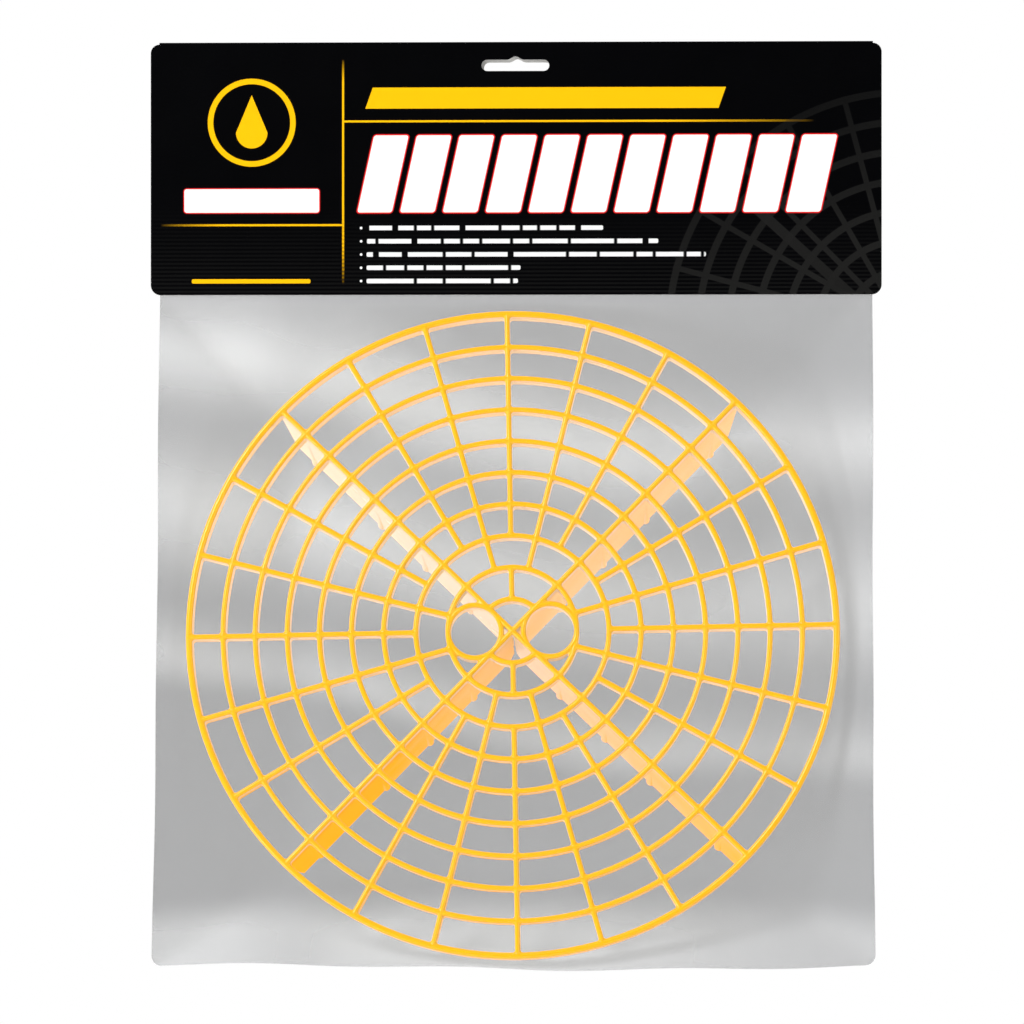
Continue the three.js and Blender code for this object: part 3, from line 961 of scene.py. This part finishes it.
def film_bands():
    """How pale the film is painted down its length: slanting bands of painted sheen and shade on slack
    film, and the doubled foot.
    """
    tree, given, result = node_group("ShaderNodeTree", "film bands", [
        ("Position", "INPUT", "Vector"), ("Sheen and Milk", "OUTPUT", "Float")])
    x, _, z = axes_of(given.outputs["Position"])
    slide = spread(x, SLANT_FROM, SLANT_TO, 0, SLANT_DROP, True)
    drift = noise_of(given.outputs["Position"], 7, 1)
    level = plus(plus(z, slide), maths("MULTIPLY_ADD", drift, BAND_WANDER, -BAND_WANDER / 2))
    bands = wired(tree, "ShaderNodeValToRGB", {"Fac": spread(level, BANDS_LOW, BANDS_HIGH, 0, 1)})
    ramp = bands.color_ramp
    ramp.interpolation = "CARDINAL"
    while len(ramp.elements) < len(BAND_LEVELS):
        ramp.elements.new(0.5)
    for element, (height, sheen_and_milk) in zip(ramp.elements, BAND_LEVELS):
        element.position = (height - BANDS_LOW) / (BANDS_HIGH - BANDS_LOW)
        element.color = (sheen_and_milk, sheen_and_milk, sheen_and_milk, 1)
    foot = spread(z, FOOT_TOP - FOOT_FADE, FOOT_TOP, 1, 0, True)
    sheen_and_milk = plus(times(bands.outputs["Color"], minus(1, foot)), times(foot, FOOT_MILK))
    # The right flank is turned to the main lamp, so it needs less painted sheen for the same look.
    flank = spread(x, 0.02, 0.135, 1, 0.52, True)
    # So does the fold that runs down from the upper left corner of the tent.
    fold = spread(maths("ABSOLUTE", plus(x, 0.087)), 0, 0.03, 0.74, 1, True)
    in_card = spread(z, CARD_FROM, CARD_TO, 0, CARD_MILK)
    feed(result, {"Sheen and Milk": maths("MAXIMUM", times(sheen_and_milk, times(flank, fold)), in_card)})
    return tree


FILM_BANDS = film_bands()


def film_material(name, cover, gloss, banded):
    """Clear film that covers a share of what is behind it, more where it is seen edge-on."""
    material = bpy.data.materials.new(name)
    shader, where = marked(material, gloss, 0.1, 0.00002)[:2]
    tree = shader.id_data
    edge_on = wired(tree, "ShaderNodeLayerWeight", {"Blend": 0.25}).outputs["Facing"]
    grazing = maths("MULTIPLY_ADD", maths("POWER", edge_on, 2.0), 0.4 * (1 - cover), cover)
    # It casts only a quarter of the shade that its look would give.
    seen = spread(wired(tree, "ShaderNodeLightPath").outputs["Is Camera Ray"], 0, 1, 0.25, 1)
    # The back film gets the bands of painted sheen and shade.
    if banded:
        bands = wired(tree, "ShaderNodeGroup", {"Position": where}, node_tree=FILM_BANDS)
        colour = blended(bands.outputs["Sheen and Milk"], FILM_SHADE_DARK, FILM_SHEEN_AND_MILK)
    else:
        colour = blended(noise_of(where, 12, 2), CLOUD_DARK, CLOUD_LIGHT)
    feed(shader, {"Base Color": colour, "Alpha": times(grazing, seen), "Specular IOR Level": 0.18})
    return material


front_film = film_material("front_film", 0.006, 0.2, False)
back_film = film_material("back_film", 0.40, 0.42, True)
for panel, film, node in (
        (bag_front, front_film, "bag_front_panel"), (bag_back, back_film, "bag_back_panel")):
    panel.data.materials.append(film)
    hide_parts(node)
    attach(panel, "bag")
    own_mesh(panel)


# ---------------------------------------------------------------------------
# Glue
# A strip of clear hot-melt between each leaf of the card and the bag, pressed thin
# as the card is folded down. The strips keep the shape that they were drawn in.
# ---------------------------------------------------------------------------
GLUE_CLEAR = (0.74, 0.70, 0.58)
GLUE_THICK = (0.86, 0.82, 0.70)

hot_melt = bpy.data.materials.new("hot_melt")
shader, where = marked(hot_melt, 0.45, 0.2, 0.0002)[:2]
feed(shader, {"Base Color": blended(noise_of(where, 90, 3), GLUE_CLEAR, GLUE_THICK)})
for node in ("glue_strip_front", "glue_strip_back"):
    frame["nodes"][node].data.materials.clear()
    frame["nodes"][node].data.materials.append(hot_melt)


# ---------------------------------------------------------------------------
# Header card
# One piece of half-millimetre board, printed black outside and grey inside, folded
# over the bag's mouth. Both leaves are die-cut with round corners and a hang slot.
# ---------------------------------------------------------------------------
BOARD = 0.0005
BOARD_EDGE = 0.00006
CARD_CORNER = 0.004
SLOT_LENGTH = 0.027
SLOT_HEIGHT = 0.0044
CREST_RISE = 0.00135
CREST_HALF = 0.0033
SLOT_SLIP = (0.0009, -0.0009)
FOLD_ROUND = 0.0008
ARC_STEPS = 8

back_low, back_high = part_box("header_back_leaf")
leaf_low, leaf_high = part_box("header_front_leaf")
card_half = back_high.x
fold_top = back_high.z
outer_face = back_high.y


back_leaf_top = fold_top - outer_face * 0.7
turns = [step / ARC_STEPS for step in range(ARC_STEPS + 1)]


def quarter_arc(centre, radius, start, sweep=QUARTER):
    """Points of an arc in a flat plane, about a centre."""
    return [(centre[0] + radius * math.cos(start + sweep * turn),
             centre[1] + radius * math.sin(start + sweep * turn)) for turn in turns]


def leaf_outline(top):
    """A leaf's outline from its lower left corner; the upper corners meet the fold."""
    half, foot, corner = card_half, back_low.z, CARD_CORNER
    top_corner = corner - BOARD
    return (quarter_arc((-half + corner, foot + corner), corner, 2 * QUARTER)
            + quarter_arc((half - corner, foot + corner), corner, 3 * QUARTER)
            + quarter_arc((half - top_corner, top - top_corner), top_corner, 0)
            + quarter_arc((-half + top_corner, top - top_corner), top_corner, QUARTER))


def slot_outline(slip):
    """The hang slot, from its lower left round to the crest that a peg centres in."""
    half, corner = SLOT_LENGTH / 2, SLOT_HEIGHT / 2
    top = -CREST_RISE
    right = quarter_arc((half - corner, top - corner), corner, -QUARTER, 2 * QUARTER)
    left = quarter_arc((-half + corner, top - corner), corner, QUARTER, 2 * QUARTER)
    crest = [(CREST_HALF * (1 - 2 * turn), -CREST_RISE * math.sin(QUARTER * (1 - 2 * turn)) ** 2)
             for turn in turns]
    return [(x + slip[0], z + slip[1]) for x, z in right + crest + left]


def die_cut_leaf(name, outline, hole, face_y, outward):
    """A board leaf with its outer face at face_y, cut to an outline with one hole."""
    curve = bpy.data.curves.new(name, "CURVE")
    curve.dimensions = "2D"
    curve.fill_mode = "BOTH"
    curve.extrude = BOARD / 2 - BOARD_EDGE
    curve.bevel_depth = BOARD_EDGE
    curve.offset = -BOARD_EDGE
    for ring in (outline, hole):
        spline = curve.splines.new("POLY")
        spline.points.add(len(ring) - 1)
        for point, (x, z) in zip(spline.points, ring):
            point.co = (x, z, 0, 1)
        spline.use_cyclic_u = True
    shape = bpy.data.objects.new(name, curve)
    bpy.context.collection.objects.link(shape)
    bpy.context.view_layer.update()
    mesh = bpy.data.meshes.new_from_object(shape.evaluated_get(bpy.context.evaluated_depsgraph_get()))
    bpy.data.objects.remove(shape, do_unlink=True)
    middle = Matrix.Translation((0, face_y - outward * BOARD / 2, 0))
    mesh.transform(middle @ Matrix.Rotation(QUARTER, 4, "X"))
    work = bmesh.new()
    work.from_mesh(mesh)
    bmesh.ops.remove_doubles(work, verts=work.verts, dist=WELD)
    bmesh.ops.recalc_face_normals(work, faces=work.faces)
    top = max(z for x, z in outline)
    for face in work.faces:
        at_fold = face.calc_center_median().z > top - BOARD
        face.material_index = 0 if at_fold or face.normal.y * outward > 0.9 else 1
    work.to_mesh(mesh)
    work.free()
    made = bpy.data.objects.new(name, mesh)
    bpy.context.collection.objects.link(made)
    return made


front_leaf = die_cut_leaf(
    "header_front_board", leaf_outline(leaf_high.z), slot_outline((0, 0)), leaf_low.y, -1)
back_leaf = die_cut_leaf(
    "header_back_board", leaf_outline(back_leaf_top), slot_outline(SLOT_SLIP), outer_face, 1)

# The fold bridges the two leaves, with its front lip just above the front leaf.
fold_half = card_half - CARD_CORNER + BOARD
fold_line = [(outer_face, back_leaf_top)]
fold_line += quarter_arc((outer_face - FOLD_ROUND, fold_top - FOLD_ROUND), FOLD_ROUND, 0)
fold_line += quarter_arc((-outer_face + FOLD_ROUND, fold_top - FOLD_ROUND), FOLD_ROUND, QUARTER)
fold_line[-1] = (-outer_face, leaf_high.z + BOARD_EDGE)
inner_line = [(y * (outer_face - BOARD) / outer_face, min(z, fold_top - BOARD)) for y, z in fold_line]
section = fold_line + inner_line[::-1]
fold_points = [(side * fold_half, y, z) for side in (-1, 1) for y, z in section]
size = len(section)
count = len(fold_line)
fold_faces = [(i, (i + 1) % size, size + (i + 1) % size, size + i) for i in range(size)]
fold_faces += [(size + i, size + i + 1, 2 * size - 2 - i, 2 * size - 1 - i) for i in range(count - 1)]
fold_faces += [(size - 1 - i, size - 2 - i, i + 1, i) for i in range(count - 1)]
header_fold = smooth_object("header_fold", fold_points, fold_faces, 40)

PRINT_EDGE = 0.00008
PRINT_BLACK = (0.0008, 0.0009, 0.0012)
PRINT_WORN = (0.0013, 0.0013, 0.0017)
PRINT_YELLOW = (0.98, 0.51, 0.004)
PRINT_RED = (0.75, 0.012, 0.012)
PRINT_WHITE = (0.96, 0.96, 0.96)
GHOST_GREY = (0.0125, 0.0125, 0.012)
LINE_GREY = (0.0065, 0.0065, 0.0065)
BOARD_DARK = (0.55, 0.54, 0.52)
BOARD_PALE = (0.72, 0.71, 0.69)


def reach_of(x, z):
    """How far a point lies from the origin."""
    return maths("SQRT", maths("MULTIPLY_ADD", x, x, times(z, z)))


def shifted(where, move, scale=(1, 1, 1)):
    """Coordinates stretched and moved."""
    return wired(where.id_data, "ShaderNodeMapping", {
        "Vector": where, "Location": move, "Scale": scale}).outputs["Vector"]


def printed_bar():
    """A flat printed bar: 1 inside it and 0 outside, with round corners and an optional slant."""
    sizes = ("Centre X", "Centre Z", "Half Width", "Half Height", "Corner", "Slant", "Grow")
    tree, given, result = node_group("ShaderNodeTree", "printed bar", [
        ("Position", "INPUT", "Vector"), *[(size, "INPUT", "Float") for size in sizes],
        ("Mask", "OUTPUT", "Float"), ("Along", "OUTPUT", "Float")])
    x, _, z = axes_of(given.outputs["Position"])
    values = [given.outputs[size] for size in sizes]
    centre_x, centre_z, half_width, half_height, corner, slant, grow = values
    up = minus(z, centre_z)
    along = minus(minus(x, centre_x), times(up, slant))
    past = [plus(minus(maths("ABSOLUTE", value), half), corner)
            for value, half in ((along, half_width), (up, half_height))]
    outside = reach_of(*[maths("MAXIMUM", value, 0.0) for value in past])
    inside = maths("MINIMUM", maths("MAXIMUM", *past), 0.0)
    distance = minus(plus(outside, inside), plus(corner, grow))
    feed(result, {
        "Mask": spread(distance, -PRINT_EDGE, PRINT_EDGE, 1, 0),
        "Along": maths("DIVIDE", along, half_width)})
    return tree


PRINTED_BAR = printed_bar()


def bar(where, left, right, low, high, **more):
    """A printed bar by its edges: its mask, and the way along it from -1 to 1."""
    node = wired(where.id_data, "ShaderNodeGroup", {
        "Position": where, "Centre X": (left + right) / 2, "Centre Z": (low + high) / 2,
        "Half Width": (right - left) / 2, "Half Height": (high - low) / 2, **more}, node_tree=PRINTED_BAR)
    return node.outputs["Mask"], node.outputs["Along"]


# Thin rules: left, right, foot, top, and the end or ends that fade into the black.
RULES = [
    (-0.0693, -0.0685, -0.0915, -0.001, "both"), (-0.0689, 0.146, -0.0262, -0.0254, "right"),
    (-0.142, -0.0693, -0.0676, -0.0668, "left")]


def thin_rules(where, colour):
    """An upright rule, and a level one to either side of it."""
    z = axes_of(where)[2]
    for *edges, fading in RULES:
        mask, along = bar(where, *edges)
        if fading == "right":
            kept = spread(along, 0.2, 0.75, 1, 0)
        elif fading == "left":
            kept = spread(along, -1, -0.3, 0, 1)
        else:
            kept = maths("MINIMUM", spread(z, -0.091, -0.076, 0, 1), spread(z, -0.001, -0.010, 0, 1))
        colour = blended(times(mask, kept), colour, PRINT_YELLOW)
    return colour


# Plain bars that stand in for lettering: edges, colour and form.
LABEL = (-0.1325, -0.0785, -0.0622, -0.0528)
LABEL_BARS = [
    ((-0.0585, 0.0825, -0.0207, -0.0123), PRINT_YELLOW, {"Slant": 0.35}),
    (LABEL, PRINT_RED, {"Corner": 0.001, "Grow": 0.0004}), (LABEL, PRINT_WHITE, {"Corner": 0.001}),
    ((-0.1295, -0.082, -0.0905, -0.0888), PRINT_YELLOW, {"Corner": 0.0006})]
TEXT_LEFT = -0.0595
TEXT_RIGHTS = (0.035, 0.057, 0.076, 0.002, 0.001)
TEXT_TOP = -0.0684
TEXT_PITCH = 0.0053
TEXT_HALF = 0.0009
DOT_LEFT = -0.0622
DOT_HALF = 0.0005


def text_rows(where, colour):
    """Broken white lines with a dot before each, in place of a list."""
    for row, right in enumerate(TEXT_RIGHTS):
        level = TEXT_TOP - TEXT_PITCH * row
        line = bar(where, TEXT_LEFT, right, level - TEXT_HALF, level + TEXT_HALF, Corner=0.0006)[0]
        dot = bar(where, DOT_LEFT, DOT_LEFT + 2 * DOT_HALF, level - DOT_HALF, level + DOT_HALF,
                  Corner=DOT_HALF)[0]
        streaks = shifted(where, (0.3 * row, 0, 0), (1, 0, 0))
        dashes = spread(noise_of(streaks, 260, 0), 0.38, 0.42, 0, 0.85)
        colour = blended(times(line, dashes), colour, PRINT_WHITE)
        colour = blended(dot, colour, PRINT_WHITE)
    return colour


TITLE_LEFT = -0.0615
TITLE_PITCH = 0.0171
TITLE_BLOCKS = 11
TITLE_BLOCK_HALF = 0.0069
TITLE_SLANT = 0.22
TITLE_TOP = -0.0314
TITLE_FOOT = -0.0622


def title_blocks(where, colour):
    """A row of plain slanted white blocks with a thin red edge."""
    x, _, z = axes_of(where)
    up = minus(z, (TITLE_TOP + TITLE_FOOT) / 2)
    along = minus(x, times(up, TITLE_SLANT))
    counted = maths("FLOOR", maths("DIVIDE", minus(along, TITLE_LEFT), TITLE_PITCH))
    kept = maths("MINIMUM", maths("MAXIMUM", counted, 0.0), TITLE_BLOCKS - 1.0)
    folded = minus(along, times(kept, TITLE_PITCH))
    spot = wired(where.id_data, "ShaderNodeCombineXYZ", {"X": folded, "Z": z}).outputs["Vector"]
    left = TITLE_LEFT + TITLE_PITCH / 2 - TITLE_BLOCK_HALF
    edges = (left, left + 2 * TITLE_BLOCK_HALF, TITLE_FOOT, TITLE_TOP)
    colour = blended(bar(spot, *edges, Corner=0.001, Grow=0.0005)[0], colour, PRINT_RED)
    return blended(bar(spot, *edges, Corner=0.001)[0], colour, PRINT_WHITE)


GHOST_CENTRE = (0.1556, -0.109)
GHOST_PITCH = 0.0118
GHOST_RINGS = 8
GHOST_RIB = (0.1109, 0.1169, -0.0955, -0.0588)


def ghost_grid(where, colour):
    """A faint ring-and-spoke pattern in the lower right, and fine lines toward the foot."""
    x, _, z = axes_of(shifted(where, (-GHOST_CENTRE[0], 0, -GHOST_CENTRE[1])))
    reach = reach_of(x, z)
    spoke = times(maths("PINGPONG", maths("ARCTAN2", z, x), math.radians(7.5)), reach)
    rings = spread(maths("PINGPONG", reach, GHOST_PITCH / 2), 0.0013, 0.0015, 1, 0)
    spokes = spread(spoke, 0.0010, 0.0012, 1, 0)
    rim = GHOST_RINGS * GHOST_PITCH
    inside = spread(reach, rim + 0.0014, rim + 0.0016, 1, 0)
    pattern = times(maths("MAXIMUM", rings, spokes), inside)
    fade = spread(minus(z, times(x, 0.4)), 0.04, 0.13, 1, 0.1)
    lines = spread(maths("PINGPONG", z, 0.0008), 0.0003, 0.0005, 0, 1)
    colour = blended(times(lines, spread(z, 0.014, 0.05, 0.8, 0)), colour, LINE_GREY)
    # One broad slanting rib crosses the pattern.
    rib = bar(where, *GHOST_RIB, Slant=-1.096)[0]
    colour = blended(times(rib, 0.9), colour, GHOST_GREY)
    return blended(times(pattern, fade), colour, GHOST_GREY)


EMBLEM_CENTRE = (-0.1055, -0.0262)
EMBLEM_RING = 0.0165
DROP_LOW = -0.004
DROP_TIP = 0.011
DROP_RADIUS = 0.0062


def drop_emblem(where, colour):
    """A plain water drop in a ring, as a stand-in badge."""
    x, _, z = axes_of(shifted(where, (-EMBLEM_CENTRE[0], 0, -EMBLEM_CENTRE[1])))
    ring = spread(maths("ABSOLUTE", minus(reach_of(x, z), EMBLEM_RING)), 0.0010, 0.0012, 1, 0)
    taper = spread(z, DROP_LOW, DROP_TIP, 1, 0)
    belly = maths("DIVIDE", maths("ABSOLUTE", x), maths("MAXIMUM", taper, 0.001))
    low = maths("MINIMUM", minus(z, DROP_LOW), 0.0)
    round_foot = spread(reach_of(belly, low), DROP_RADIUS, DROP_RADIUS + 0.0002, 1, 0)
    drop = times(round_foot, spread(z, DROP_TIP - 0.0002, DROP_TIP, 1, 0))
    return blended(maths("MAXIMUM", ring, drop), colour, PRINT_YELLOW)


def board_print(name, decorated):
    """Coated black print; the front leaf also has plain bars, blocks and a drop in a ring."""
    material = bpy.data.materials.new(name)
    shader, where = marked(material, 0.42, 0.12, 0.00002)[:2]
    colour = thin_rules(where, blended(noise_of(where, 30, 2), PRINT_BLACK, PRINT_WORN))
    if decorated:
        colour = title_blocks(where, ghost_grid(where, colour))
        for edges, paint, form in LABEL_BARS:
            colour = blended(bar(where, *edges, **form)[0], colour, paint)
        colour = drop_emblem(where, text_rows(where, colour))
    feed(shader, {"Base Color": colour, "Specular IOR Level": 0.02})
    return material


front_print = board_print("front_print", True)
back_print = board_print("back_print", False)

raw_board = bpy.data.materials.new("raw_grey_board")
shader, where = marked(raw_board, 0.85, 0.1, 0.00002)[:2]
fibres = noise_of(where, 900, 4, 0.7)
feed(shader, {"Base Color": blended(fibres, BOARD_DARK, BOARD_PALE)})
bumped(shader, fibres, 0.00005)

for leaf, print_side in ((front_leaf, front_print), (back_leaf, back_print)):
    leaf.data.materials.append(print_side)
    leaf.data.materials.append(raw_board)
header_fold.data.materials.append(back_print)

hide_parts("header_front_leaf")
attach(front_leaf, "front_leaf")
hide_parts("header_back_leaf")
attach(back_leaf, "header")
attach(header_fold, "header")
